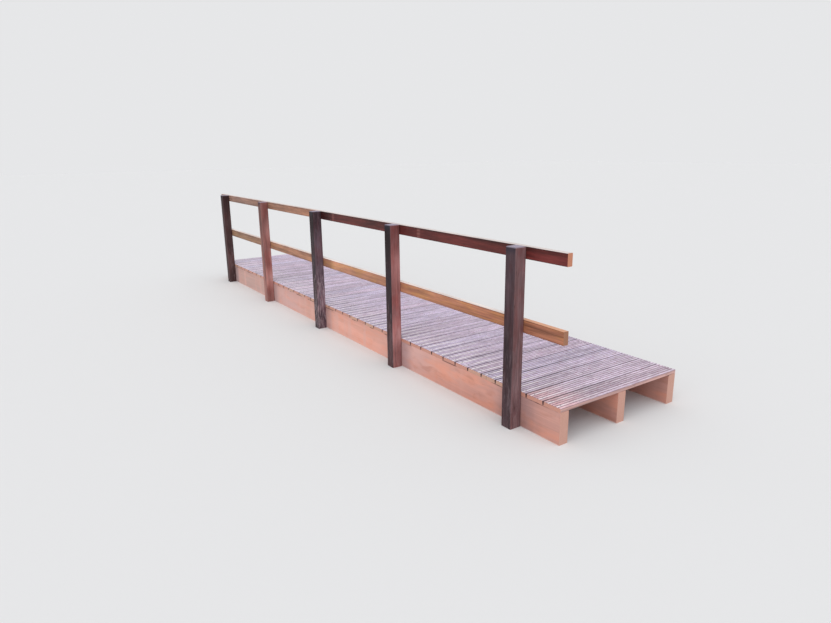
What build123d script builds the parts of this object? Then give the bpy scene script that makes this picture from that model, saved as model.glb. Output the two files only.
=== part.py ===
"""Wooden footbridge: three stringers, a deck of grooved planks and a railing along one side.

All sizes are millimetres. +X runs along the bridge, +Y across it and away from the railing, and +Z is up.
The origin is at the middle of the whole bridge in X and Y, at the level of the stringers' undersides.
"""

import os

from build123d import *

# Deck planks, laid across the bridge
plank_width = 144.0
plank_gap = 6.0
plank_thickness = 28.0
plank_edge_bevel = 3.0
planks_per_node = 2
deck_width = 1170.0

# Grooves along the top of each plank, with sloping sides
groove_count = 5
groove_pitch = 24.0
groove_width = 11.0
groove_depth = 3.0
groove_side_angle = 60.0

# Stringers under the deck
stringer_width = 75.0
stringer_depth = 220.0
stringer_edge_round = 3.0

# Railing posts, on the outer face of one stringer
post_count = 5
post_spacing = 1440.0
post_width = 90.0
post_depth = 90.0
post_edge_round = 6.0
post_top_chamfer = 5.0
post_rise = 955.0
near_overhang = 340.0
far_overhang = 254.0

# Rails, on the posts' inner faces
rail_thickness = 40.0
rail_edge_round = 4.0
top_rail_height = 80.0
middle_rail_height = 87.0
middle_rail_top = 487.0
rail_end_inset = 6.0
rail_joint_gap = 2.0

# Cross members between the stringers, one row behind each post
cross_member_width = 50.0
cross_member_depth = 170.0

# Places that follow from the sizes
plank_pitch = plank_width + plank_gap
railing_length = (post_count - 1) * post_spacing + post_width
wanted_length = near_overhang + railing_length + far_overhang
plank_count = round((wanted_length + plank_gap) / plank_pitch)
deck_length = plank_count * plank_pitch - plank_gap
deck_underside = stringer_depth
deck_top = deck_underside + plank_thickness
total_width = deck_width + post_depth
deck_y_low = -total_width / 2 + post_depth
deck_y_high = deck_y_low + deck_width
deck_x_near = deck_length / 2
deck_x_far = -deck_length / 2
post_height = deck_top + post_rise
near_post_x = deck_x_near - near_overhang - post_width / 2
post_y = deck_y_low - post_depth / 2
post_x = [near_post_x - index * post_spacing for index in reversed(range(post_count))]
rail_y = deck_y_low + rail_thickness / 2
rail_x_near = deck_x_near - rail_end_inset
rail_x_far = deck_x_far + rail_end_inset
rail_joint_x = post_x[post_count // 2]
stringer_y = {
    "stringer_outer": deck_y_low + stringer_width / 2,
    "stringer_middle": (deck_y_low + deck_y_high) / 2,
    "stringer_inner": deck_y_high - stringer_width / 2,
}


def save(builder, name):
    """Label a finished piece and write it as a STEP file of its own."""
    builder.part.label = name
    export_step(builder.part, f"parts/{name}.step")


def plank_profile():
    """Section of one plank, drawn flat: bevelled edges, level underside, grooves cut into the top."""
    upside_down = 180
    with BuildSketch() as profile:
        Rectangle(plank_width, plank_thickness, align=(Align.CENTER, Align.MIN))
        chamfer(profile.vertices(), plank_edge_bevel)
        with Locations((0, plank_thickness)):
            with GridLocations(groove_pitch, 0, groove_count, 1):
                Trapezoid(
                    groove_width,
                    groove_depth,
                    groove_side_angle,
                    rotation=upside_down,
                    align=(Align.CENTER, Align.MIN),
                    mode=Mode.SUBTRACT,
                )
    return profile.sketch


def make_planks():
    """The deck, a few neighbouring planks to a node, numbered from the far end."""
    profile = plank_profile()
    for first in range(0, plank_count, planks_per_node):
        last = min(first + planks_per_node, plank_count)
        with BuildPart() as planks:
            for index in range(first, last):
                centre_x = deck_x_far + plank_width / 2 + index * plank_pitch
                plank_start = (centre_x, deck_y_low, deck_underside)
                with BuildSketch(Plane(origin=plank_start, x_dir=(1, 0, 0), z_dir=(0, -1, 0))):
                    add(profile)
                extrude(amount=-deck_width)
        save(planks, f"deck_planks_{first + 1:02d}_{last:02d}")


def make_beam(name, x_low, x_high, y, z_low, width, depth, edge_round):
    """A straight timber along X with eased long edges."""
    with BuildPart() as beam:
        with BuildSketch(Plane.YZ.offset(x_low)):
            with Locations((y, z_low)):
                Rectangle(width, depth, align=(Align.CENTER, Align.MIN))
        extrude(amount=x_high - x_low)
        fillet(beam.edges().filter_by(Axis.X), edge_round)
    save(beam, name)


def make_stringers():
    """Three beams on edge that carry the planks."""
    for name, y in stringer_y.items():
        make_beam(name, deck_x_far, deck_x_near, y, 0, stringer_width, stringer_depth, stringer_edge_round)


def make_cross_members():
    """A row of two blocks between the stringers behind each post, tight under the planks."""
    block_length = (deck_width - 3 * stringer_width) / 2
    low_bay_y = (stringer_y["stringer_outer"] + stringer_y["stringer_middle"]) / 2
    high_bay_y = (stringer_y["stringer_middle"] + stringer_y["stringer_inner"]) / 2
    for number, x in enumerate(post_x, start=1):
        with BuildPart() as row:
            with BuildSketch(Plane.XY.offset(deck_underside)):
                with Locations((x, low_bay_y), (x, high_bay_y)):
                    Rectangle(cross_member_width, block_length)
            extrude(amount=-cross_member_depth)
        save(row, f"cross_member_{number}")


def make_posts():
    """Square posts from the stringers' undersides up to the top rail, eased edges and bevelled tops."""
    for number, x in enumerate(post_x, start=1):
        with BuildPart() as post:
            with BuildSketch():
                with Locations((x, post_y)):
                    RectangleRounded(post_width, post_depth, post_edge_round)
            extrude(amount=post_height)
            chamfer(post.faces().sort_by(Axis.Z)[-1].edges(), post_top_chamfer)
        save(post, f"post_{number}")


def make_rails():
    """A top rail and a middle rail, each in two lengths that meet on the middle post."""
    middle_rail_top_z = deck_top + middle_rail_top
    rails = {
        "top_rail": (post_height - top_rail_height, top_rail_height),
        "middle_rail": (middle_rail_top_z - middle_rail_height, middle_rail_height),
    }
    spans = {
        "far": (rail_x_far, rail_joint_x - rail_joint_gap / 2),
        "near": (rail_joint_x + rail_joint_gap / 2, rail_x_near),
    }
    for rail, (z_low, height) in rails.items():
        for side, (x_low, x_high) in spans.items():
            make_beam(f"{rail}_{side}", x_low, x_high, rail_y, z_low, rail_thickness, height, rail_edge_round)


os.makedirs("parts", exist_ok=True)
make_planks()
make_stringers()
make_cross_members()
make_posts()
make_rails()
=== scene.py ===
"""Looks of the wooden footbridge: timber, weathering, screws and bolts, floor, light and camera.

Everything is in metres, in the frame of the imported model: +X runs along the bridge to its near end,
+Y across it and away from the railing, and +Z is up. Timber and steel have seen colours, as sRGB values
of 0 to 255. Where a mark comes or goes over a stretch, the stretch is a pair of places or distances.
A mark's SIZE is half its length and the length of its soft edge.
"""

import math
from typing import NamedTuple

import bmesh
import bpy
from mathutils import Matrix, Vector


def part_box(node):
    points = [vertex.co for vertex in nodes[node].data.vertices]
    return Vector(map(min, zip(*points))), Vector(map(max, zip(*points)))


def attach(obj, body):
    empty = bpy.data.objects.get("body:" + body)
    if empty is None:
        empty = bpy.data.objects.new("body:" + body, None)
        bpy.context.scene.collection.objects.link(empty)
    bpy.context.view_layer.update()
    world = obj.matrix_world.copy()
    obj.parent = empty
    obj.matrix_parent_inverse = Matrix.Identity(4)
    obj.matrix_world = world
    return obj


MM = 0.001
X, Y, Z = range(3)
UP = (0, 0, 1)
AWAY_FROM_RAILING = (0, 1, 0)
WHITE = (255, 255, 255)

# Sockets of a node that mixes colours
MIX_FACTOR = 0
MIX_FIRST = 6
MIX_SECOND = 7
MIX_RESULT = 2

# Places read from the frame
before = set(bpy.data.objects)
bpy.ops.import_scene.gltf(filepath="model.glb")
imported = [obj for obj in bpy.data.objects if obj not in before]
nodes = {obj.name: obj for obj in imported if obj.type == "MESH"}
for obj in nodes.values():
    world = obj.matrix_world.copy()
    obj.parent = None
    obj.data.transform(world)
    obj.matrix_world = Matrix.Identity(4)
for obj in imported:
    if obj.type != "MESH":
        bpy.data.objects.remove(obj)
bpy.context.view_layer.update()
plank_nodes = sorted(name for name in nodes if name.startswith("deck_planks"))
post_nodes = sorted(name for name in nodes if name.startswith("post"))
cross_nodes = sorted(name for name in nodes if name.startswith("cross_member"))
stringer_nodes = ("stringer_outer", "stringer_middle", "stringer_inner")
deck_low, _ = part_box(plank_nodes[0])
_, deck_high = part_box(plank_nodes[-1])
_, stringer_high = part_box("stringer_outer")
post_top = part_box(post_nodes[0])[1].z
last_post_face_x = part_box(post_nodes[-1])[1].x


class PostLook(NamedTuple):
    """Seen colours of one post by face, partly painted light and shade, and how strong its weathering
    flecks, painted bounce light and darker top are.
    """

    outer: tuple
    near: tuple
    others: tuple
    low: tuple
    flecks: float
    splash: float
    darker_top: float


class RailLook(NamedTuple):
    """Seen colours of one rail length, and how strong its patches and stains are."""

    side: tuple
    side_far: tuple
    top: tuple
    end: tuple
    spread: float
    golden: float
    streaks: float
    lower_light: float
    wet_top: float
    joint_stain: float = 0.0
    top_past_post: tuple = None
    stripes: tuple = ()
    split_height: float = 0.0


class LighterPlace(NamedTuple):
    """A lighter place along the deck: its middle, half its length, its soft edge and its strength."""

    x: float
    half: float
    soft: float
    strength: float


class DeckPoint(NamedTuple):
    """What the deck's material knows of a point, as shader outputs.

    place is its X, Y and Z. number_luck and colour_luck are its plank's random number and colour.
    middle_x is the plank's middle line, from_edge the distance from the plank's nearer long edge and
    depth the distance below the deck's top. end_face is 1 on the faces that close the deck at both ends,
    and near_end is 1 on the last planks near by.
    """

    place: object
    number_luck: object
    colour_luck: object
    middle_x: object
    from_edge: object
    depth: object
    end_face: object
    near_end: object


# Every timber
CRACK_DARK = (52, 34, 32)
STREAK_STAIN = (176, 168, 176)
RING_WIDTH = 4.5 * MM
RING_BEND = 12 * MM
RING_BEND_SCALE = (22, 22, 22)
PORE_SCALE = (500, 500, 500)

# Posts
# Post face colours hold painted light and shade on each post's own colours: near (+X) faces lighter, outer
# (-Y) faces darker
POST_LOOKS = {
    "post_1": PostLook((66, 47, 47), (73, 53, 53), (74, 54, 54), (50, 31, 33), 0.15, 0.6, 0.7),
    "post_2": PostLook((130, 92, 86), (152, 105, 100), (140, 98, 90), (182, 128, 120), 0.1, 0.9, 0.45),
    "post_3": PostLook((56, 46, 51), (98, 80, 89), (84, 67, 73), (88, 70, 75), 0.85, 0.95, 0.95),
    "post_4": PostLook((48, 36, 41), (155, 104, 102), (112, 78, 78), (102, 72, 73), 0.2, 0.8, 1.0),
    "post_5": PostLook((69, 53, 58), (116, 88, 90), (96, 73, 77), (82, 62, 66), 0.18, 0.1, 0.05),
}
POST_PITH = Vector((18, -12, 0)) * MM
POST_SHIFT = (1.7, 0.9, 2.3)
POST_SAWN = ((140, 130, 146), (180, 170, 188))
CLOUD_STAIN = (255, 206, 200)
STAINED_FOOT_Z = (0.12, 0.55)
# Painted bounce light from the deck on the posts' near faces
BOUNCE_LIGHT_ABOVE_DECK = 50 * MM
BOUNCE_LIGHT_SIZE = (30 * MM, 150 * MM)
# Posts darker towards the top
DARKER_TOP_TINT = (192, 180, 180)
DARKER_BELOW_TOP = (100 * MM, 350 * MM)
LIP_DARK = (44, 42, 54)
LIP_BELOW_TOP = (12 * MM, 55 * MM)
POST_FLECKS = (186, 176, 180)
MOTTLED_Z = (0.45, 0.8)
MOTTLE_PALE = (174, 152, 158)
MOTTLE_STAIN = (150, 140, 150)
# Painted highlight on the posts' eased corners
CORNER_HIGHLIGHT = (146, 116, 114)

# Rails
PALE_STRIPES_X = (0.26, 1.71)
# Top colours of the rails hold a painted sky reflection on the wood's own top colour
RAIL_LOOKS = {
    "top_rail_near": RailLook(
        side=(93, 38, 36), side_far=(90, 40, 38), top=(222, 210, 206), end=(200, 134, 106),
        spread=0.3, golden=0.3, streaks=1.0, lower_light=0.06, wet_top=0.5, joint_stain=1.0,
        stripes=PALE_STRIPES_X,
    ),
    "top_rail_far": RailLook(
        side=(164, 116, 92), side_far=(147, 116, 104), top=(220, 200, 192), end=(196, 158, 130),
        spread=0.25, golden=0.1, streaks=0.8, lower_light=-0.03, wet_top=0.3,
    ),
    "middle_rail_near": RailLook(
        side=(174, 113, 87), side_far=(196, 139, 110), top=(238, 224, 218), end=(164, 116, 90),
        spread=0.22, golden=1.0, streaks=0.5, lower_light=-0.14, wet_top=0.1, joint_stain=0.7,
        top_past_post=(226, 168, 134), split_height=0.6,
    ),
    "middle_rail_far": RailLook(
        side=(177, 125, 99), side_far=(142, 111, 89), top=(236, 216, 206), end=(180, 140, 112),
        spread=0.25, golden=0.3, streaks=0.8, lower_light=-0.03, wet_top=0.3,
    ),
}
RAIL_PITH = Vector((0, -15, -60)) * MM
RAIL_SHIFT = (2.9, 0.6, 1.1)
GOLDEN_STAIN = (255, 255, 226)
STRIPE_RED = (160, 110, 102)
STRIPE_SIZE = (8 * MM, 22 * MM)
DAMP_BROWN = (190, 160, 150)
WET_BELOW_TOP = (4 * MM, 24 * MM)
UPPER_EDGE_STAIN = (150, 120, 130)
UPPER_EDGE = (3 * MM, 7 * MM)
LOWER_EDGE = (2 * MM, 9 * MM)
JOINT_STAIN = (170, 165, 170)
STAINED_FROM_JOINT = (180 * MM, 320 * MM)
SPLIT_DARK = (84, 48, 36)
SPLIT_WANDER = 10 * MM
SPLIT_HALF_WIDTH = (1 * MM, 4 * MM)
SPLIT_FROM_END = (360 * MM, 420 * MM)
TOP_CHANGE_LENGTH = 60 * MM

# Stringers
STRINGER_PITH = Vector((0, 20, 15)) * MM
STRINGER_SHIFT = (3.1, 1.3, 0.7)
STRINGER_SAWN = ((190, 138, 122), (222, 178, 162))
FAR_SALMON = (202, 168, 160)
MIDDLE_SALMON = (234, 175, 158)
NEAR_SALMON = (196, 147, 137)
CLOUD_DRIFT = 2.4
WARM_SALMON_X = (-2.6, 0.9)
BROWN_SALMON_X = (1.4, 2.6)
GREYER_SALMON = (216, 178, 174)
GREYER_PLACES_X = (-0.95, 1.5)
GREYER_SIZE = (120 * MM, 400 * MM)
ORANGE_SALMON = (232, 160, 136)
UPRIGHT_SALMON = (226, 180, 170)
NEARER_STRETCH_X = (0.9, 1.9)
BLOT_BROWN = (182, 122, 104)
DARK_TOP_BROWN = (176, 126, 116)
DARK_TOP_FROM_Z = 0.12
LOW_STAIN = (238, 230, 226)
LOW_STAIN_Z = (0.05, 0.17)
LOW_EDGE_PALE = (236, 206, 196)
LOW_EDGE_Z = (2 * MM, 10 * MM)
# Painted shadow on the stringer's top, under the planks
UNDER_PLANKS_SHADOW = (84, 52, 50)
UNDER_PLANKS = (2 * MM, 9 * MM)
# Painted shade and stains beside the posts
BESIDE_POST_SHADE_AND_STAIN = (220, 228, 238)
BESIDE_POST_SIZE = (90 * MM, 150 * MM)

# Cross members
BLOCK_SALMON = (200, 150, 134)
BLOCK_SHIFT = (0.4, 1.7, 0.2)

# Deck
PLANK_PITCH = 150 * MM
PLANK_WIDTH = 144 * MM
PLANK_GAP = PLANK_PITCH - PLANK_WIDTH
GROOVE_DEPTH = 3 * MM
# The planks' own greyed colour with a painted sky reflection of the wet deck in it
LILAC_GREY = (209, 198, 225)
PINKER_GREY = (219, 191, 208)
RAILING_END_PINK = (234, 182, 184)
PINK_PLANKS_X = (2.917, 2.922)
PINK_ENDS_Y = (-0.5, -0.15)
NEAR_END_STAIN = (255, 251, 244)
NEAR_END_X = (2.6, 2.9)
GLARE_AND_LIGHTER_PLACES = (
    # Painted glare of the sky on the wet planks about the middle of the deck
    LighterPlace(x=0.2, half=0.4, soft=0.9, strength=0.08),
    # A lighter run of planks
    LighterPlace(x=2.45, half=0.15, soft=0.3, strength=0.05),
)
# Painted highlight: small glints of the wet deck, drawn as pale flecks
GLINT_FLECKS = (250, 243, 250)
RED_FLECKS = (184, 128, 140)
DARK_FLECKS = (112, 86, 100)
# Painted highlight: the sky's reflection on the wet ridges of the planks
RIDGE_HIGHLIGHT = (255, 248, 252)
RIDGE_FROM_EDGE = 36 * MM
RIDGE_HALF_WIDTH = (6 * MM, 9 * MM)
RIDGE_HIGHLIGHTS_Y = (-0.5, 0.0)
# Painted shade in the grooves and in the gaps between the planks
GROOVE_SHADE = (128, 92, 108)
GAP_SHADE = (64, 42, 50)
GAP_EDGE = (1.5 * MM, 4.5 * MM)
FAINTER_GAP_SHADE_Y = (-0.2, 0.3)
END_FACE_SALMON = (196, 156, 150)
END_FACE_DEPTH = (4 * MM, 5 * MM)
SALMON_SAWN = ((180, 122, 106), (222, 166, 148))
YELLOWER_SAWN = ((178, 132, 112), (222, 180, 158))
PLANK_PITH_ASIDE = 40 * MM
PLANK_PITH_BELOW = 20 * MM
# Painted shade on the sawn plank ends, in the corners by the gaps
CORNER_SHADE = (62, 38, 40)
SHADED_CORNER = (4 * MM, 8 * MM)

# Screws and bolts: lathed outlines as (radius, height above the surface), in millimetres
STEEL_TONES = ((96, 94, 94), (146, 144, 142))
HEAD_SIDES = 12
HEXAGON_SIDES = 6
DECK_SCREW = [(4.2, -0.6), (4.6, 0.0), (4.3, 0.35), (2.0, 0.4), (1.7, -0.8)]
RAIL_SCREW = [(6.4, -0.4), (6.6, 0.8), (5.6, 2.0), (2.6, 2.4), (2.3, 0.6)]
BLOCK_SCREW = [(4.8, -0.6), (5.2, 0.0), (4.9, 0.35), (2.4, 0.4), (2.0, -1.0)]
WASHER = [(9.0, -0.2), (9.0, 1.4), (8.7, 1.6), (4.0, 1.6)]
HEXAGON = [(7.3, 1.5), (7.5, 1.8), (7.5, 6.2), (7.0, 6.8)]
SCREW_OFFSET = 36 * MM
RAIL_SCREW_X = 20 * MM
RAIL_SCREW_Z = 18 * MM
COACH_SCREW_X = 35 * MM
COACH_SCREW_Z = (60 * MM, 150 * MM)
BLOCK_SCREW_Z = (90 * MM, 180 * MM)

# Floor and world, in linear colours
FLOOR_HALF = 60.0
FLOOR_GREY = (0.80, 0.80, 0.80, 1)
WORLD_LIGHT = (0.66, 0.665, 0.68, 1)
WORLD_SEEN = (0.794, 0.798, 0.81, 1)

# Camera: a standing person's view of the near end, in the photograph's frame of 831 by 623 pixels
IMAGE_WIDTH_PX = 831
FOCAL_LENGTH_PX = 608.9
CAMERA_PLACE = (5.5696, -3.1799, 1.7888)
CAMERA_HEADING = math.radians(145.998)
CAMERA_DOWN = math.radians(14.968)
CAMERA_ROLL = math.radians(-0.728)
SENSOR_WIDTH = 36.0
CAMERA_REACH = 200


def linear(colour):
    """A colour of 0 to 255 sRGB values as linear RGBA."""
    shares = [value / 255 for value in colour]
    return tuple(s / 12.92 if s <= 0.04045 else ((s + 0.055) / 1.055) ** 2.4 for s in shares) + (1.0,)


def scaled(colour, factor):
    """A colour made lighter or darker, kept within range."""
    return tuple(min(255, value * factor) for value in colour)


def middle(name):
    """Middle point of a node's box."""
    low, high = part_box(name)
    return (low + high) / 2


class Nodes:
    """Short ways to add shader nodes to one material."""

    def __init__(self, name):
        self.material = bpy.data.materials.new(name)
        self.material.use_nodes = True
        self.tree = self.material.node_tree
        self.shader = self.tree.nodes["Principled BSDF"]
        self.coordinates = self.add("ShaderNodeTexCoord").outputs["Object"]
        self.normal = self.add("ShaderNodeNewGeometry").outputs["True Normal"]

    def add(self, kind, settings=None, inputs=None):
        """A new node with its settings, and its inputs plugged by name or number."""
        made = self.tree.nodes.new(kind)
        for key, value in (settings or {}).items():
            setattr(made, key, value)
        for key, value in (inputs or {}).items():
            self.plug(made.inputs[key], value)
        return made

    def plug(self, socket, value):
        """Link an output to a socket, or set the socket to a plain value."""
        if isinstance(value, bpy.types.NodeSocket):
            self.tree.links.new(value, socket)
        else:
            socket.default_value = value

    def math(self, operation, first, second=0.0, third=0.0):
        """One operation on up to three values."""
        made = self.add("ShaderNodeMath", {"operation": operation}, {0: first, 1: second, 2: third})
        return made.outputs[0]

    def times(self, first, second):
        """The product of two values."""
        return self.math("MULTIPLY", first, second)

    def minus(self, first, second):
        """A value less another."""
        return self.math("SUBTRACT", first, second)

    def plus(self, base, value, factor):
        """A base plus a value times a factor."""
        return self.math("MULTIPLY_ADD", value, factor, base)

    def flipped(self, share):
        """0 where a share is 1, and 1 where it is 0."""
        return self.minus(1.0, share)

    def distance(self, first, second):
        """How far two values are apart."""
        return self.math("ABSOLUTE", self.minus(first, second))

    def separate(self, vector):
        """The three parts of a vector or colour."""
        return self.add("ShaderNodeSeparateXYZ", None, {0: vector}).outputs

    def vector(self, operation, first, second=(0, 0, 0)):
        """One operation on up to two vectors."""
        made = self.add("ShaderNodeVectorMath", {"operation": operation}, {0: first, 1: second})
        return made.outputs["Value" if operation == "LENGTH" else "Vector"]

    def stretched(self, scale, shift=(0, 0, 0)):
        """Object coordinates, shifted by a vector or socket and then scaled by axis."""
        return self.vector("MULTIPLY", self.vector("ADD", self.coordinates, shift), scale)

    def noise(self, vector, detail=3.0, roughness=0.5, distortion=0.0):
        """Soft noise around one half."""
        inputs = {
            "Vector": vector,
            "Scale": 1.0,
            "Detail": detail,
            "Roughness": roughness,
            "Distortion": distortion,
        }
        return self.add("ShaderNodeTexNoise", None, inputs).outputs["Fac"]

    def ramp(self, factor, stops):
        """Colour or grey ramp; each stop is (place, linear colour)."""
        made = self.add("ShaderNodeValToRGB", None, {0: factor})
        elements = made.color_ramp.elements
        while len(elements) < len(stops):
            elements.new(0.5)
        for element, (place, colour) in zip(elements, stops):
            element.position = place
            element.color = colour
        return made.outputs[0]

    def rise(self, value, low, high):
        """0 below low, 1 above high, smooth between."""
        settings = {"interpolation_type": "SMOOTHSTEP"}
        inputs = {"Value": value, "From Min": low, "From Max": high}
        return self.add("ShaderNodeMapRange", settings, inputs).outputs[0]

    def fall(self, value, low, high):
        """1 below low, 0 above high, smooth between."""
        return self.rise(value, high, low)

    def mix(self, factor, first, second, blend="MIX"):
        """The first colour at factor 0, and the second blended over it at factor 1."""
        made = self.add("ShaderNodeMix", {"data_type": "RGBA", "blend_type": blend})
        self.plug(made.inputs[MIX_FACTOR], factor)
        self.plug(made.inputs[MIX_FIRST], first)
        self.plug(made.inputs[MIX_SECOND], second)
        return made.outputs[MIX_RESULT]

    def tinted(self, colour, share, strength, other):
        """A colour moved towards another by a share times a strength."""
        return self.mix(self.times(share, strength), colour, other)

    def painted(self, colour, share, strength, paint):
        """A colour moved towards a seen colour by a share times a strength."""
        return self.tinted(colour, share, strength, linear(paint))

    def filtered(self, colour, stain):
        """A colour seen through a stain."""
        return self.mix(1.0, colour, linear(stain), "MULTIPLY")

    def stained(self, colour, share, strength, stain):
        """A colour under a see-through stain by a share times a strength."""
        return self.tinted(colour, share, strength, self.filtered(colour, stain))

    def lightened(self, colour, share, strength):
        """A colour made up to twice as light by a share times a strength."""
        return self.tinted(colour, share, strength, self.mix(1.0, colour, linear(WHITE), "SOFT_LIGHT"))

    def dimmed(self, colour, factor):
        """A colour times a factor."""
        made = self.add("ShaderNodeVectorMath", {"operation": "SCALE"}, {0: colour, "Scale": factor})
        return made.outputs["Vector"]

    def bump(self, height, strength, distance):
        """Surface directions bent by a height."""
        inputs = {"Height": height, "Strength": strength, "Distance": distance}
        return self.add("ShaderNodeBump", None, inputs).outputs[0]


def along(axis, length_scale, cross_scale):
    """A scale vector for grain that runs along an axis."""
    return tuple(length_scale if index == axis else cross_scale for index in range(3))


def grain(tools, axis, shift):
    """Grain of one timber: (tone from 0 to 1, fine fibre, drying cracks from 0 to 1)."""
    fibre = tools.noise(tools.stretched(along(axis, 5, 230), shift), detail=4, roughness=0.65)
    rings = tools.noise(tools.stretched(along(axis, 1.1, 38), shift), detail=3, distortion=0.8)
    patches = tools.noise(tools.stretched(along(axis, 1.6, 6), shift), detail=4, roughness=0.6)
    tone = tools.plus(tools.times(fibre, 0.28), rings, 0.42)
    tone = tools.rise(tools.plus(tone, patches, 0.4), 0.4, 0.7)
    crack_noise = tools.noise(tools.stretched(along(axis, 1.6, 75), shift), detail=1)
    crack = tools.fall(tools.distance(crack_noise, 0.5), 0.0, 0.014)
    where = tools.noise(tools.stretched(along(axis, 2.2, 9), shift), detail=2)
    crack = tools.times(crack, tools.rise(where, 0.52, 0.64))
    return tone, fibre, crack


def end_grain(tools, axis, pith, dark, light):
    """Colour of a sawn end: slightly bent growth rings round a pith line along an axis, and fine pores."""
    across = tools.vector("MULTIPLY", tools.vector("SUBTRACT", tools.coordinates, pith), along(axis, 0, 1))
    bend = tools.noise(tools.stretched(RING_BEND_SCALE), detail=2)
    radius = tools.plus(tools.vector("LENGTH", across), bend, RING_BEND)
    rings = tools.math("SINE", tools.times(radius, 2 * math.pi / RING_WIDTH))
    pores = tools.noise(tools.stretched(PORE_SCALE), detail=2)
    tone = tools.plus(tools.times(pores, 0.9), rings, 0.16)
    return tools.ramp(tone, [(0.2, linear(dark)), (0.7, linear(light))])


def facing(tools, axis, sign):
    """1 on faces that look along the signed axis, 0 on the others."""
    component = tools.separate(tools.normal)[axis]
    return tools.rise(tools.times(component, float(sign)), 0.35, 0.75)


def end_share(tools, axis):
    """1 on the two faces across the grain."""
    return tools.rise(tools.math("ABSOLUTE", tools.separate(tools.normal)[axis]), 0.8, 0.95)


def corner_share(tools, first, second):
    """1 on the eased edges between the faces that look along two axes."""
    parts = tools.separate(tools.normal)
    product = tools.math("ABSOLUTE", tools.times(parts[first], parts[second]))
    return tools.rise(product, 0.15, 0.4)


def near_place(tools, axis, place, half, soft):
    """1 within a distance of a place along an axis, fading to 0 over a soft edge."""
    distance = tools.distance(tools.separate(tools.coordinates)[axis], place)
    return tools.fall(distance, half, half + soft)


def three_tones(tools, tone, colour, spread=0.22):
    """A ramp from a darker to a lighter tone of one seen colour."""
    stops = [
        (0.0, linear(scaled(colour, 1 - spread))),
        (0.5, linear(colour)),
        (1.0, linear(scaled(colour, 1 + spread * 0.7))),
    ]
    return tools.ramp(tone, stops)


def finish_wood(tools, colour, tone, fibre, crack, roughness=0.6, bump=0.35, specular=0.25):
    """Cracks, fibre bump and sheen, shared by every timber."""
    colour = tools.painted(colour, crack, 0.7, CRACK_DARK)
    height = tools.plus(tools.plus(fibre, tone, 0.5), crack, -2.0)
    tools.plug(tools.shader.inputs["Base Color"], colour)
    tools.plug(tools.shader.inputs["Roughness"], tools.plus(roughness - 0.1, fibre, 0.2))
    tools.plug(tools.shader.inputs["Normal"], tools.bump(height, bump, 0.6 * MM))
    tools.shader.inputs["Specular IOR Level"].default_value = specular
    return tools.material


def fine_streaks(tools, axis, colour, shift, strength):
    """Darker and lighter streaks a finger wide along the grain."""
    streaks = tools.noise(tools.stretched(along(axis, 7, 75), shift), detail=3, roughness=0.65)
    colour = tools.stained(colour, tools.rise(streaks, 0.5, 0.64), strength, STREAK_STAIN)
    return tools.lightened(colour, tools.fall(streaks, 0.34, 0.49), 0.8 * strength)


def post_patches(tools, colour, shift):
    """Redder clouds, paler upright smears and fine streaks on a post."""
    clouds = tools.noise(tools.stretched((11, 11, 4.5), shift), detail=4, roughness=0.6)
    colour = tools.stained(colour, tools.rise(clouds, 0.45, 0.65), 0.6, CLOUD_STAIN)
    smears = tools.noise(tools.stretched((14, 14, 2.5), shift), detail=4, roughness=0.6, distortion=0.6)
    colour = tools.lightened(colour, tools.rise(smears, 0.5, 0.66), 0.4)
    return fine_streaks(tools, Z, colour, shift, 0.18)


def post_flecks(tools, colour, look, height, low_down, shift):
    """Pale upright flecks, mostly low down, and pale and dark mottles up to the middle rail."""
    flecks = tools.noise(tools.stretched(along(Z, 16, 170), shift), detail=4, roughness=0.7)
    amount = tools.times(tools.rise(flecks, 0.54, 0.68), tools.plus(0.2, low_down, 0.8))
    colour = tools.painted(colour, amount, look.flecks, POST_FLECKS)
    lower_part = tools.fall(height, *MOTTLED_Z)
    mottles = tools.noise(tools.stretched((60, 60, 9), shift), detail=4, roughness=0.7)
    pale = tools.times(tools.rise(mottles, 0.52, 0.62), lower_part)
    colour = tools.painted(colour, pale, 0.8 * look.flecks, MOTTLE_PALE)
    dark = tools.times(tools.fall(mottles, 0.38, 0.48), lower_part)
    return tools.stained(colour, dark, 0.8 * look.flecks, MOTTLE_STAIN)


def post_weather(tools, colour, tone, look, shift):
    """Stained foot, painted bounce light from the deck just above it, a darker top, flecks and a dark lip.
    """
    near_face = facing(tools, X, 1)
    height = tools.separate(tools.coordinates)[Z]
    below_top = tools.minus(post_top, height)
    low_down = tools.fall(height, *STAINED_FOOT_Z)
    foot = three_tones(tools, tone, look.low, 0.3)
    colour = tools.tinted(colour, low_down, tools.plus(0.6, near_face, -0.4), foot)
    # Painted bounce light: the near face lightened just above the deck
    splash = near_place(tools, Z, deck_high.z + BOUNCE_LIGHT_ABOVE_DECK, *BOUNCE_LIGHT_SIZE)
    colour = tools.lightened(colour, tools.times(splash, near_face), look.splash)
    # Darker towards the top of the post
    colour = tools.stained(colour, tools.fall(below_top, *DARKER_BELOW_TOP), look.darker_top, DARKER_TOP_TINT)
    colour = post_flecks(tools, colour, look, height, low_down, shift)
    lip = tools.times(tools.fall(below_top, *LIP_BELOW_TOP), tools.flipped(near_face))
    return tools.painted(colour, lip, 0.6, LIP_DARK)


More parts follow.
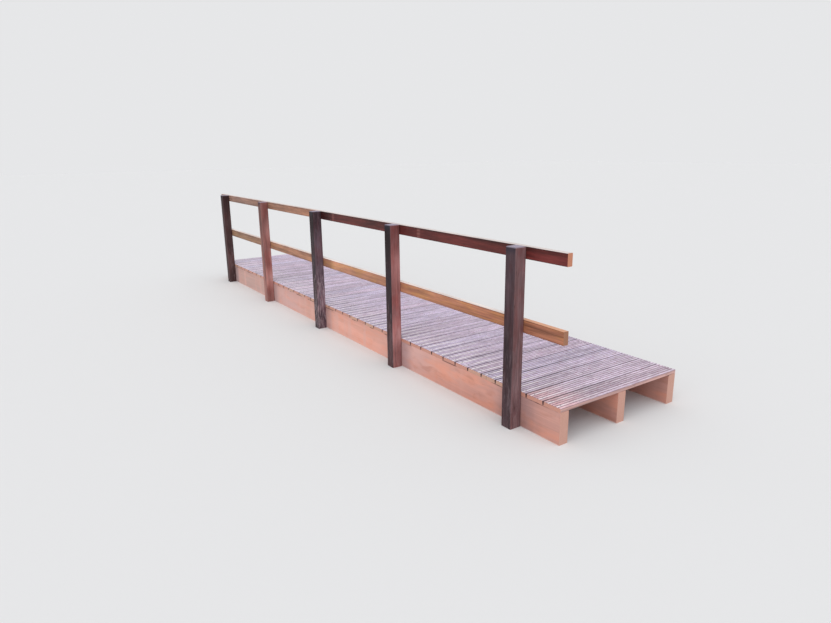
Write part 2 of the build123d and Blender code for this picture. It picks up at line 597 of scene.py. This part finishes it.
def post_material(name, look, pith, shift):
    """Dark timber, its outer (-Y) and near (+X) faces in colours of their own that partly hold painted light
    and shade, and a grey sawn top.
    """
    tools = Nodes(name)
    tone, fibre, crack = grain(tools, Z, shift)
    colour = three_tones(tools, tone, look.others, 0.3)
    # Near and outer faces: own colours partly holding painted light and shade
    colour = tools.mix(facing(tools, X, 1), colour, three_tones(tools, tone, look.near, 0.14))
    colour = tools.mix(facing(tools, Y, -1), colour, three_tones(tools, tone, look.outer, 0.24))
    colour = post_patches(tools, colour, shift)
    colour = post_weather(tools, colour, tone, look, shift)
    # Painted highlight along the eased corners between the faces
    corner_highlight = tools.times(corner_share(tools, X, Y), tools.rise(fibre, 0.42, 0.6))
    colour = tools.painted(colour, corner_highlight, 0.25, CORNER_HIGHLIGHT)
    sawn = end_grain(tools, Z, pith, *POST_SAWN)
    colour = tools.mix(tools.rise(tools.separate(tools.normal)[Z], 0.5, 0.9), colour, sawn)
    return finish_wood(tools, colour, tone, fibre, crack, roughness=0.6, specular=0.15)


def rail_patches(tools, colour, look, near_share, shift):
    """Golden patches, long dark streaks, pale stripes and fine streaks along a rail."""
    patches = tools.noise(tools.stretched((3.5, 16, 20), shift), detail=3, roughness=0.55, distortion=0.6)
    golden = tools.lightened(tools.filtered(colour, GOLDEN_STAIN), 1.0, 0.2)
    colour = tools.tinted(colour, tools.rise(patches, 0.45, 0.62), look.golden, golden)
    streaks = tools.noise(tools.stretched((1.4, 60, 60), shift), detail=4, roughness=0.65, distortion=1.0)
    amount = tools.times(tools.rise(streaks, 0.56, 0.68), tools.plus(0.25, near_share, 0.5))
    colour = tools.stained(colour, amount, look.streaks, DAMP_BROWN)
    for stripe_x in look.stripes:
        stripe = near_place(tools, X, stripe_x, *STRIPE_SIZE)
        stripe = tools.times(stripe, tools.fall(streaks, 0.42, 0.62))
        colour = tools.painted(colour, stripe, 0.4, STRIPE_RED)
    return fine_streaks(tools, X, colour, shift, 0.4 * look.streaks)


def rail_edges(tools, colour, look, low, high):
    """Dark wet upper and lower edges, and a stain by the rail joint."""
    place = tools.separate(tools.coordinates)
    below_top = tools.minus(high.z, place[Z])
    colour = tools.stained(colour, tools.fall(below_top, *WET_BELOW_TOP), look.wet_top, DAMP_BROWN)
    colour = tools.stained(colour, tools.fall(below_top, *UPPER_EDGE), 0.5, UPPER_EDGE_STAIN)
    above_bottom = tools.minus(place[Z], low.z)
    colour = tools.stained(colour, tools.fall(above_bottom, *LOWER_EDGE), 0.6, DAMP_BROWN)
    by_joint = tools.fall(tools.minus(place[X], low.x), *STAINED_FROM_JOINT)
    return tools.stained(colour, by_joint, look.joint_stain, JOINT_STAIN)


def drying_split(tools, colour, split_height, low, high):
    """A dark, wandering split along the side of a rail, past the last post."""
    place = tools.separate(tools.coordinates)
    level = low.z + split_height * (high.z - low.z)
    wander = tools.noise(tools.stretched(along(X, 12, 1)), detail=2)
    split_z = tools.plus(level - SPLIT_WANDER / 2, wander, SPLIT_WANDER)
    line = tools.fall(tools.distance(place[Z], split_z), *SPLIT_HALF_WIDTH)
    stretch = tools.fall(tools.minus(high.x, place[X]), *SPLIT_FROM_END)
    return tools.painted(colour, tools.times(line, stretch), 0.6, SPLIT_DARK)


def rail_material(name, look, pith, shift):
    """Rail timber that changes along its length, paler on top where a painted sky reflection lies on its own
    colour, with orange sawn ends.
    """
    tools = Nodes(f"{name}_timber")
    low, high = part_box(name)
    tone, fibre, crack = grain(tools, X, shift)
    place = tools.separate(tools.coordinates)
    near_share = tools.rise(place[X], low.x, high.x)
    near_tones = three_tones(tools, tone, look.side, look.spread)
    far_tones = three_tones(tools, tone, look.side_far, 0.7 * look.spread)
    colour = tools.mix(near_share, far_tones, near_tones)
    below_middle = tools.minus((low.z + high.z) / 2, place[Z])
    slope = look.lower_light * 2 / (high.z - low.z)
    colour = tools.dimmed(colour, tools.plus(1.0, below_middle, slope))
    colour = rail_patches(tools, colour, look, near_share, shift)
    colour = rail_edges(tools, colour, look, low, high)
    if look.split_height:
        colour = drying_split(tools, colour, look.split_height, low, high)
    # Top faces: own colour with a painted sky reflection
    top_tones = three_tones(tools, tone, look.top, 0.12)
    if look.top_past_post:
        past_post = tools.rise(place[X], last_post_face_x - TOP_CHANGE_LENGTH, last_post_face_x)
        top_tones = tools.mix(past_post, top_tones, three_tones(tools, tone, look.top_past_post, 0.12))
    colour = tools.mix(facing(tools, Z, 1), colour, top_tones)
    sawn = end_grain(tools, X, pith, scaled(look.end, 0.85), scaled(look.end, 1.12))
    colour = tools.mix(end_share(tools, X), colour, sawn)
    return finish_wood(tools, colour, tone, fibre, crack, roughness=0.55)


def stringer_tones(tools, tone, place, shift):
    """Salmon: greyer at the far end and in places, warmest in the middle and browner at the near end."""
    clouds = tools.noise(tools.stretched((1.7, 3, 5.5), shift), detail=3, roughness=0.5, distortion=0.4)
    drift = tools.plus(tools.minus(place[X], CLOUD_DRIFT / 2), clouds, CLOUD_DRIFT)
    warmth = tools.rise(drift, *WARM_SALMON_X)
    grey_tones = three_tones(tools, tone, FAR_SALMON, 0.04)
    colour = tools.mix(warmth, grey_tones, three_tones(tools, tone, MIDDLE_SALMON, 0.04))
    brown_tones = three_tones(tools, tone, NEAR_SALMON, 0.06)
    colour = tools.tinted(colour, tools.rise(drift, *BROWN_SALMON_X), 0.8, brown_tones)
    for greyer_x in GREYER_PLACES_X:
        greyer = near_place(tools, X, greyer_x, *GREYER_SIZE)
        colour = tools.painted(colour, greyer, 0.6, GREYER_SALMON)
    patches = tools.noise(tools.stretched((3.2, 4, 11), shift), detail=4, roughness=0.55, distortion=0.5)
    orange = tools.times(tools.rise(patches, 0.42, 0.72), tools.plus(0.2, warmth, 0.5))
    return tools.painted(colour, orange, 1.0, ORANGE_SALMON)


def stringer_stains_and_shadow(tools, colour, place, shift):
    """Upright bands, blots, a darker top and low part, a pale low edge and a painted shadow under the
    planks.
    """
    bands = tools.noise(tools.stretched((7, 0.3, 0.4), shift), detail=2, roughness=0.5)
    nearer = tools.rise(place[X], *NEARER_STRETCH_X)
    upright = tools.times(tools.rise(bands, 0.5, 0.6), tools.plus(0.5, nearer, -0.35))
    colour = tools.painted(colour, upright, 1.0, UPRIGHT_SALMON)
    blots = tools.noise(tools.stretched((6, 6, 15), shift), detail=3, roughness=0.5, distortion=0.5)
    brownness = tools.plus(0.15, nearer, 0.25)
    colour = tools.painted(colour, tools.rise(blots, 0.52, 0.74), brownness, BLOT_BROWN)
    high_up = tools.rise(place[Z], DARK_TOP_FROM_Z, stringer_high.z)
    colour = tools.painted(colour, tools.times(high_up, tools.flipped(nearer)), 0.2, DARK_TOP_BROWN)
    low_near = tools.times(tools.fall(place[Z], *LOW_STAIN_Z), nearer)
    colour = tools.stained(colour, low_near, 0.6, LOW_STAIN)
    colour = tools.painted(colour, tools.fall(place[Z], *LOW_EDGE_Z), 0.6, LOW_EDGE_PALE)
    # Painted shadow under the planks, uneven with the blots
    shadow_under_planks = tools.fall(tools.minus(stringer_high.z, place[Z]), *UNDER_PLANKS)
    return tools.painted(colour, shadow_under_planks, tools.rise(blots, 0.46, 0.62), UNDER_PLANKS_SHADOW)


def shade_and_stains_beside_posts(tools, colour):
    """Greyer, darker places beside the posts: painted shade and stains."""
    for post in post_nodes:
        beside = near_place(tools, X, middle(post).x, *BESIDE_POST_SIZE)
        # Painted shade and stain beside each post
        colour = tools.stained(colour, beside, 1.0, BESIDE_POST_SHADE_AND_STAIN)
    return colour


def stringer_material(name, pith, shift):
    """Salmon beam with soft stains, a painted shadow under the planks, painted shade beside the posts on the
    outer one, and pale sawn ends.
    """
    tools = Nodes(f"{name}_timber")
    tone, fibre, crack = grain(tools, X, shift)
    place = tools.separate(tools.coordinates)
    colour = stringer_tones(tools, tone, place, shift)
    colour = stringer_stains_and_shadow(tools, colour, place, shift)
    if name == "stringer_outer":
        colour = shade_and_stains_beside_posts(tools, colour)
    sawn = end_grain(tools, X, pith, *STRINGER_SAWN)
    colour = tools.mix(end_share(tools, X), colour, sawn)
    return finish_wood(tools, colour, tone, fibre, tools.times(crack, 0.3), roughness=0.65, bump=0.15)


def cross_member_material():
    """Sawn blocks between the stringers."""
    tools = Nodes("sawn_blocks")
    tone, fibre, crack = grain(tools, Y, BLOCK_SHIFT)
    colour = three_tones(tools, tone, BLOCK_SALMON)
    return finish_wood(tools, colour, tone, fibre, crack, roughness=0.7)


def deck_point(tools):
    """Where a point of the deck is, and the random numbers of its plank."""
    place = tools.separate(tools.coordinates)
    from_far_end = tools.minus(place[X], deck_low.x - PLANK_GAP / 2)
    number = tools.math("FLOOR", tools.math("DIVIDE", from_far_end, PLANK_PITCH))
    luck = tools.add("ShaderNodeTexWhiteNoise", {"noise_dimensions": "1D"}, {"W": number})
    middle_x = tools.plus(deck_low.x + PLANK_WIDTH / 2, number, PLANK_PITCH)
    from_nearer_end = tools.minus(deck_high.x, tools.math("ABSOLUTE", place[X]))
    return DeckPoint(
        place=place,
        number_luck=luck.outputs["Value"],
        colour_luck=luck.outputs["Color"],
        middle_x=middle_x,
        from_edge=tools.minus(PLANK_WIDTH / 2, tools.distance(place[X], middle_x)),
        depth=tools.minus(deck_high.z, place[Z]),
        end_face=tools.fall(from_nearer_end, *END_FACE_DEPTH),
        near_end=tools.rise(place[X], *NEAR_END_X),
    )


def plank_tones(tools, tone, point):
    """Lilac-grey of each plank, its greyed colour with a painted sky reflection in it, some of them pinker,
    two of them pink at their railing ends.
    """
    colour = three_tones(tools, tone, LILAC_GREY, 0.18)
    colour = tools.tinted(colour, point.number_luck, 0.5, three_tones(tools, tone, PINKER_GREY, 0.18))
    pink_planks = tools.rise(point.place[X], *PINK_PLANKS_X)
    pink_ends = tools.times(pink_planks, tools.fall(point.place[Y], *PINK_ENDS_Y))
    colour = tools.painted(colour, pink_ends, 0.65, RAILING_END_PINK)
    colour = tools.stained(colour, point.near_end, 1.0, NEAR_END_STAIN)
    return tools.dimmed(colour, plank_shade(tools, point))


def plank_shade(tools, point):
    """How light the deck is, by plank, by streak and by place along the bridge, one place holding a painted
    glare.
    """
    _, light_luck, _ = tools.separate(point.colour_luck)
    streaks = tools.noise(tools.stretched((41, 10, 1), (0.3, 0.2, 0)), detail=3, roughness=0.7)
    shade = tools.plus(0.71, light_luck, 0.12)
    shade = tools.plus(shade, tools.rise(streaks, 0.3, 0.7), 0.36)
    for lighter in GLARE_AND_LIGHTER_PLACES:
        there = near_place(tools, X, lighter.x, lighter.half, lighter.soft)
        shade = tools.plus(shade, there, lighter.strength)
    return tools.plus(shade, point.near_end, -0.03)


def plank_glints_and_flecks(tools, colour, shift):
    """Painted glints of the wet deck as pale flecks, and reddish and dark flecks along the fibre."""
    # The pale flecks are painted glints of the wet surface
    pale = tools.noise(tools.stretched((90, 16, 30), shift), detail=3, roughness=0.7)
    colour = tools.painted(colour, tools.rise(pale, 0.5, 0.62), 0.4, GLINT_FLECKS)
    red = tools.noise(tools.stretched((170, 22, 30), shift), detail=3, roughness=0.7)
    colour = tools.painted(colour, tools.rise(red, 0.55, 0.66), 0.6, RED_FLECKS)
    dark = tools.noise(tools.stretched((210, 30, 40), shift), detail=3, roughness=0.7)
    return tools.painted(colour, tools.rise(dark, 0.58, 0.68), 0.6, DARK_FLECKS)


def painted_ridge_highlights(tools, colour, fibre, point, shift):
    """Two patchy ridges on each plank with a painted wet highlight, brightest by the railing and weaker at
    the near end.
    """
    # Painted highlight on the ridges, strongest by the railing
    ridge = tools.fall(tools.distance(point.from_edge, RIDGE_FROM_EDGE), *RIDGE_HALF_WIDTH)
    patches = tools.noise(tools.stretched((60, 9, 1), shift), detail=3, roughness=0.7)
    highlight_strength = tools.plus(0.2, tools.fall(point.place[Y], *RIDGE_HIGHLIGHTS_Y), 0.8)
    highlight_strength = tools.times(highlight_strength, tools.rise(patches, 0.32, 0.5))
    highlight_strength = tools.times(highlight_strength, tools.plus(0.7, tools.rise(fibre, 0.35, 0.5), 0.3))
    highlight_strength = tools.times(highlight_strength, tools.plus(1.0, point.near_end, -0.35))
    return tools.painted(colour, ridge, highlight_strength, RIDGE_HIGHLIGHT)


def groove_and_gap_shade(tools, colour, point):
    """Painted shade in the grooves and on the plank edges by the gaps, fainter away from the railing and at
    the near end.
    """
    # Painted shade: the grooves and the gap edges darkened
    groove = tools.rise(point.depth, 0.2 * GROOVE_DEPTH, 0.9 * GROOVE_DEPTH)
    colour = tools.painted(colour, groove, 0.85, GROOVE_SHADE)
    gap = tools.times(tools.fall(point.from_edge, *GAP_EDGE), tools.flipped(point.end_face))
    gap = tools.times(gap, tools.plus(0.93, tools.rise(point.place[Y], *FAINTER_GAP_SHADE_Y), -0.4))
    gap = tools.times(gap, tools.plus(1.0, point.near_end, -0.2))
    return tools.mix(gap, colour, linear(GAP_SHADE))


def plank_sawn_ends(tools, point):
    """Salmon sawn ends, some of them yellower, with painted shade in the corners by the gaps."""
    aside = tools.plus(-PLANK_PITH_ASIDE, point.number_luck, 2 * PLANK_PITH_ASIDE)
    pith_inputs = {X: tools.math("ADD", point.middle_x, aside), Y: 0.0, Z: deck_low.z - PLANK_PITH_BELOW}
    pith = tools.add("ShaderNodeCombineXYZ", None, pith_inputs).outputs[0]
    salmon = end_grain(tools, Y, pith, *SALMON_SAWN)
    yellower = end_grain(tools, Y, pith, *YELLOWER_SAWN)
    _, _, yellow_luck = tools.separate(point.colour_luck)
    sawn = tools.mix(tools.rise(yellow_luck, 0.5, 0.9), salmon, yellower)
    # Painted shade where each sawn end meets a gap
    corner = tools.fall(tools.plus(point.from_edge, point.depth, 0.2), *SHADED_CORNER)
    corner = tools.times(corner, tools.flipped(point.end_face))
    return tools.painted(sawn, corner, 0.95, CORNER_SHADE)


def deck_material():
    """Wet, greyed planks with a painted sky reflection in their lilac grey, painted highlights and glints,
    painted shade in the grooves and gaps, and salmon sawn ends.
    """
    tools = Nodes("deck_planks")
    point = deck_point(tools)
    shift = tools.vector("MULTIPLY", point.colour_luck, (7, 7, 7))
    tone, fibre, crack = grain(tools, Y, shift)
    colour = plank_tones(tools, tone, point)
    colour = plank_glints_and_flecks(tools, colour, shift)
    colour = painted_ridge_highlights(tools, colour, fibre, point, shift)
    colour = groove_and_gap_shade(tools, colour, point)
    side = tools.times(tools.rise(point.depth, GROOVE_DEPTH, 2 * GROOVE_DEPTH), point.end_face)
    colour = tools.mix(side, colour, three_tones(tools, tone, END_FACE_SALMON))
    colour = tools.mix(end_share(tools, Y), colour, plank_sawn_ends(tools, point))
    return finish_wood(tools, colour, tone, fibre, crack, roughness=0.5, bump=0.4, specular=0.4)


def steel_material():
    """Dull zinc-coated steel of screws and bolts."""
    tools = Nodes("dull_steel")
    spots = tools.noise(tools.stretched((900, 900, 900)), detail=3)
    dark, light = STEEL_TONES
    colour = tools.ramp(spots, [(0.3, linear(dark)), (0.7, linear(light))])
    tools.plug(tools.shader.inputs["Base Color"], colour)
    tools.shader.inputs["Metallic"].default_value = 0.9
    tools.plug(tools.shader.inputs["Roughness"], tools.plus(0.3, spots, 0.3))
    return tools.material


def lathe(mesh, place, direction, outline):
    """Add one turned or six-sided piece: rings of the outline around a direction, closed at both ends."""
    sides = HEXAGON_SIDES if outline is HEXAGON else HEAD_SIDES
    turn = Vector(direction).to_track_quat("Z", "Y")
    rings = []
    for radius, height in outline:
        ring = []
        for index in range(sides):
            angle = 2 * math.pi * index / sides
            local = Vector((radius * math.cos(angle), radius * math.sin(angle), height)) * MM
            ring.append(mesh.verts.new(Vector(place) + turn @ local))
        rings.append(ring)
    for lower, upper in zip(rings, rings[1:]):
        for index in range(sides):
            after = (index + 1) % sides
            mesh.faces.new((lower[index], lower[after], upper[after], upper[index]))
    mesh.faces.new(reversed(rings[0]))
    mesh.faces.new(rings[-1])


def fasteners(name, material, spots):
    """One added piece with many heads; each spot is (place, direction, outlines)."""
    built = bmesh.new()
    for place, direction, outlines in spots:
        for outline in outlines:
            lathe(built, place, direction, outline)
    mesh = bpy.data.meshes.new(name)
    built.to_mesh(mesh)
    built.free()
    mesh.materials.append(material)
    piece = bpy.data.objects.new(name, mesh)
    bpy.context.scene.collection.objects.link(piece)
    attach(piece, "root")


def deck_screw_spots():
    """Two sunk screws in each plank over each stringer."""
    plank_count = round((deck_high.x - deck_low.x + PLANK_GAP) / PLANK_PITCH)
    spots = []
    for number in range(plank_count):
        centre_x = deck_low.x + PLANK_WIDTH / 2 + number * PLANK_PITCH
        for beam in stringer_nodes:
            for side in (-SCREW_OFFSET, SCREW_OFFSET):
                spots.append(((centre_x + side, middle(beam).y, deck_high.z), UP, [DECK_SCREW]))
    return spots


def rail_screw_spots():
    """Two screws on a slant in each rail at each post, and four where two rail lengths meet."""
    slant = [(-RAIL_SCREW_X, RAIL_SCREW_Z), (RAIL_SCREW_X, -RAIL_SCREW_Z)]
    other_slant = [(-RAIL_SCREW_X, -RAIL_SCREW_Z), (RAIL_SCREW_X, RAIL_SCREW_Z)]
    middle_post = post_nodes[len(post_nodes) // 2]
    spots = []
    for post in post_nodes:
        pattern = slant + other_slant if post == middle_post else slant
        for rail in ("top_rail_near", "middle_rail_near"):
            _, rail_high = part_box(rail)
            for side_x, side_z in pattern:
                place = (middle(post).x + side_x, rail_high.y, middle(rail).z + side_z)
                spots.append((place, AWAY_FROM_RAILING, [RAIL_SCREW]))
    return spots


def coach_screw_spots():
    """Four coach screws, each on a washer, from the outer stringer into each post."""
    spots = []
    for post in post_nodes:
        for side in (-COACH_SCREW_X, COACH_SCREW_X):
            for z in COACH_SCREW_Z:
                place = (middle(post).x + side, stringer_high.y, z)
                spots.append((place, AWAY_FROM_RAILING, [WASHER, HEXAGON]))
    return spots


def block_screw_spots():
    """Two sunk screws from the inner stringer into each row of cross members."""
    spots = []
    for post in post_nodes:
        for z in BLOCK_SCREW_Z:
            spots.append(((middle(post).x, deck_high.y, z), AWAY_FROM_RAILING, [BLOCK_SCREW]))
    return spots


def add_fasteners():
    """Screws in the planks, rails and blocks, and coach screws from the outer stringer into the posts."""
    steel = steel_material()
    fasteners("deck_screws", steel, deck_screw_spots())
    fasteners("rail_screws", steel, rail_screw_spots())
    fasteners("post_coach_screws", steel, coach_screw_spots())
    fasteners("cross_member_screws", steel, block_screw_spots())


def dress(name, material):
    """Give a CAD node its material."""
    piece = nodes[name]
    piece.data.materials.clear()
    piece.data.materials.append(material)


def dress_timber():
    """Every CAD node in its own timber."""
    deck = deck_material()
    for name in plank_nodes:
        dress(name, deck)
    blocks = cross_member_material()
    for name in cross_nodes:
        dress(name, blocks)
    dress_stringers()
    dress_posts()
    dress_rails()


def own_shift(index, step):
    """A shift of the grain that gives each of several alike timbers a grain of its own."""
    return tuple(part * index for part in step)


def dress_stringers():
    """Three stringers, alike but for their grain and stains, with painted shade beside the posts on the
    outer one.
    """
    for index, name in enumerate(stringer_nodes):
        shift = own_shift(index, STRINGER_SHIFT)
        dress(name, stringer_material(name, middle(name) + STRINGER_PITH, shift))


def dress_posts():
    """Five posts, each from another tree."""
    for index, name in enumerate(post_nodes):
        shift = own_shift(index, POST_SHIFT)
        material = post_material(f"{name}_timber", POST_LOOKS[name], middle(name) + POST_PITH, shift)
        dress(name, material)


def dress_rails():
    """Four rail lengths: near by, dark red on top and orange in the middle, and duller browns beyond."""
    for index, (name, look) in enumerate(RAIL_LOOKS.items()):
        shift = own_shift(index, RAIL_SHIFT)
        dress(name, rail_material(name, look, middle(name) + RAIL_PITH, shift))


def stage_floor():
    """A plain pale floor, part of the stage and not of the bridge."""
    mesh = bpy.data.meshes.new("floor")
    half = FLOOR_HALF
    corners = [(-half, -half, 0), (half, -half, 0), (half, half, 0), (-half, half, 0)]
    mesh.from_pydata(corners, [], [(0, 1, 2, 3)])
    floor = bpy.data.objects.new("floor", mesh)
    bpy.context.scene.collection.objects.link(floor)
    tools = Nodes("pale_floor")
    tools.shader.inputs["Base Color"].default_value = FLOOR_GREY
    tools.shader.inputs["Roughness"].default_value = 0.95
    tools.shader.inputs["Specular IOR Level"].default_value = 0.1
    mesh.materials.append(tools.material)


def light_world():
    """Even soft light from all round, with a pale background for what the camera and reflections see."""
    world = bpy.data.worlds.new("studio")
    bpy.context.scene.world = world
    world.use_nodes = True
    tree = world.node_tree
    background = tree.nodes["Background"]
    path = tree.nodes.new("ShaderNodeLightPath")
    seen = path.outputs["Is Camera Ray"]
    for ray in ("Is Glossy Ray", "Is Transmission Ray"):
        either = tree.nodes.new("ShaderNodeMath")
        either.operation = "MAXIMUM"
        tree.links.new(seen, either.inputs[0])
        tree.links.new(path.outputs[ray], either.inputs[1])
        seen = either.outputs[0]
    colour = tree.nodes.new("ShaderNodeMix")
    colour.data_type = "RGBA"
    tree.links.new(seen, colour.inputs[MIX_FACTOR])
    colour.inputs[MIX_FIRST].default_value = WORLD_LIGHT
    colour.inputs[MIX_SECOND].default_value = WORLD_SEEN
    tree.links.new(colour.outputs[MIX_RESULT], background.inputs["Color"])


def lamp(name, place, energy, angle):
    """A soft lamp like the sun, shining from a place towards the origin."""
    light = bpy.data.lights.new(name, "SUN")
    light.energy = energy
    light.angle = angle
    made = bpy.data.objects.new(name, light)
    bpy.context.scene.collection.objects.link(made)
    made.location = place
    made.rotation_euler = (-Vector(place)).to_track_quat("-Z", "Y").to_euler()


def light_lamps():
    """A broad overhead light and a low fill from the railing's side."""
    lamp("overcast", (4, -1.5, 9), 0.95, math.radians(70))
    lamp("fill", (2, -6, 2), 0.6, math.radians(60))


def place_camera():
    """The photograph's viewpoint, from its heading, tilt and roll."""
    camera = bpy.data.cameras.new("camera")
    camera.sensor_width = SENSOR_WIDTH
    camera.lens = FOCAL_LENGTH_PX / IMAGE_WIDTH_PX * SENSOR_WIDTH
    camera.clip_end = CAMERA_REACH
    made = bpy.data.objects.new("camera", camera)
    bpy.context.scene.collection.objects.link(made)
    level = Vector((math.cos(CAMERA_HEADING), math.sin(CAMERA_HEADING), 0))
    forward = level * math.cos(CAMERA_DOWN) - Vector(UP) * math.sin(CAMERA_DOWN)
    flat_right = level.cross(Vector(UP))
    right = Matrix.Rotation(-CAMERA_ROLL, 3, forward) @ flat_right
    up = right.cross(forward)
    turn = Matrix((right, up, -forward)).transposed()
    made.matrix_world = Matrix.Translation(CAMERA_PLACE) @ turn.to_4x4()
    bpy.context.scene.camera = made


bpy.context.scene.view_settings.view_transform = "Standard"
dress_timber()
add_fasteners()
stage_floor()
light_world()
light_lamps()
place_camera()
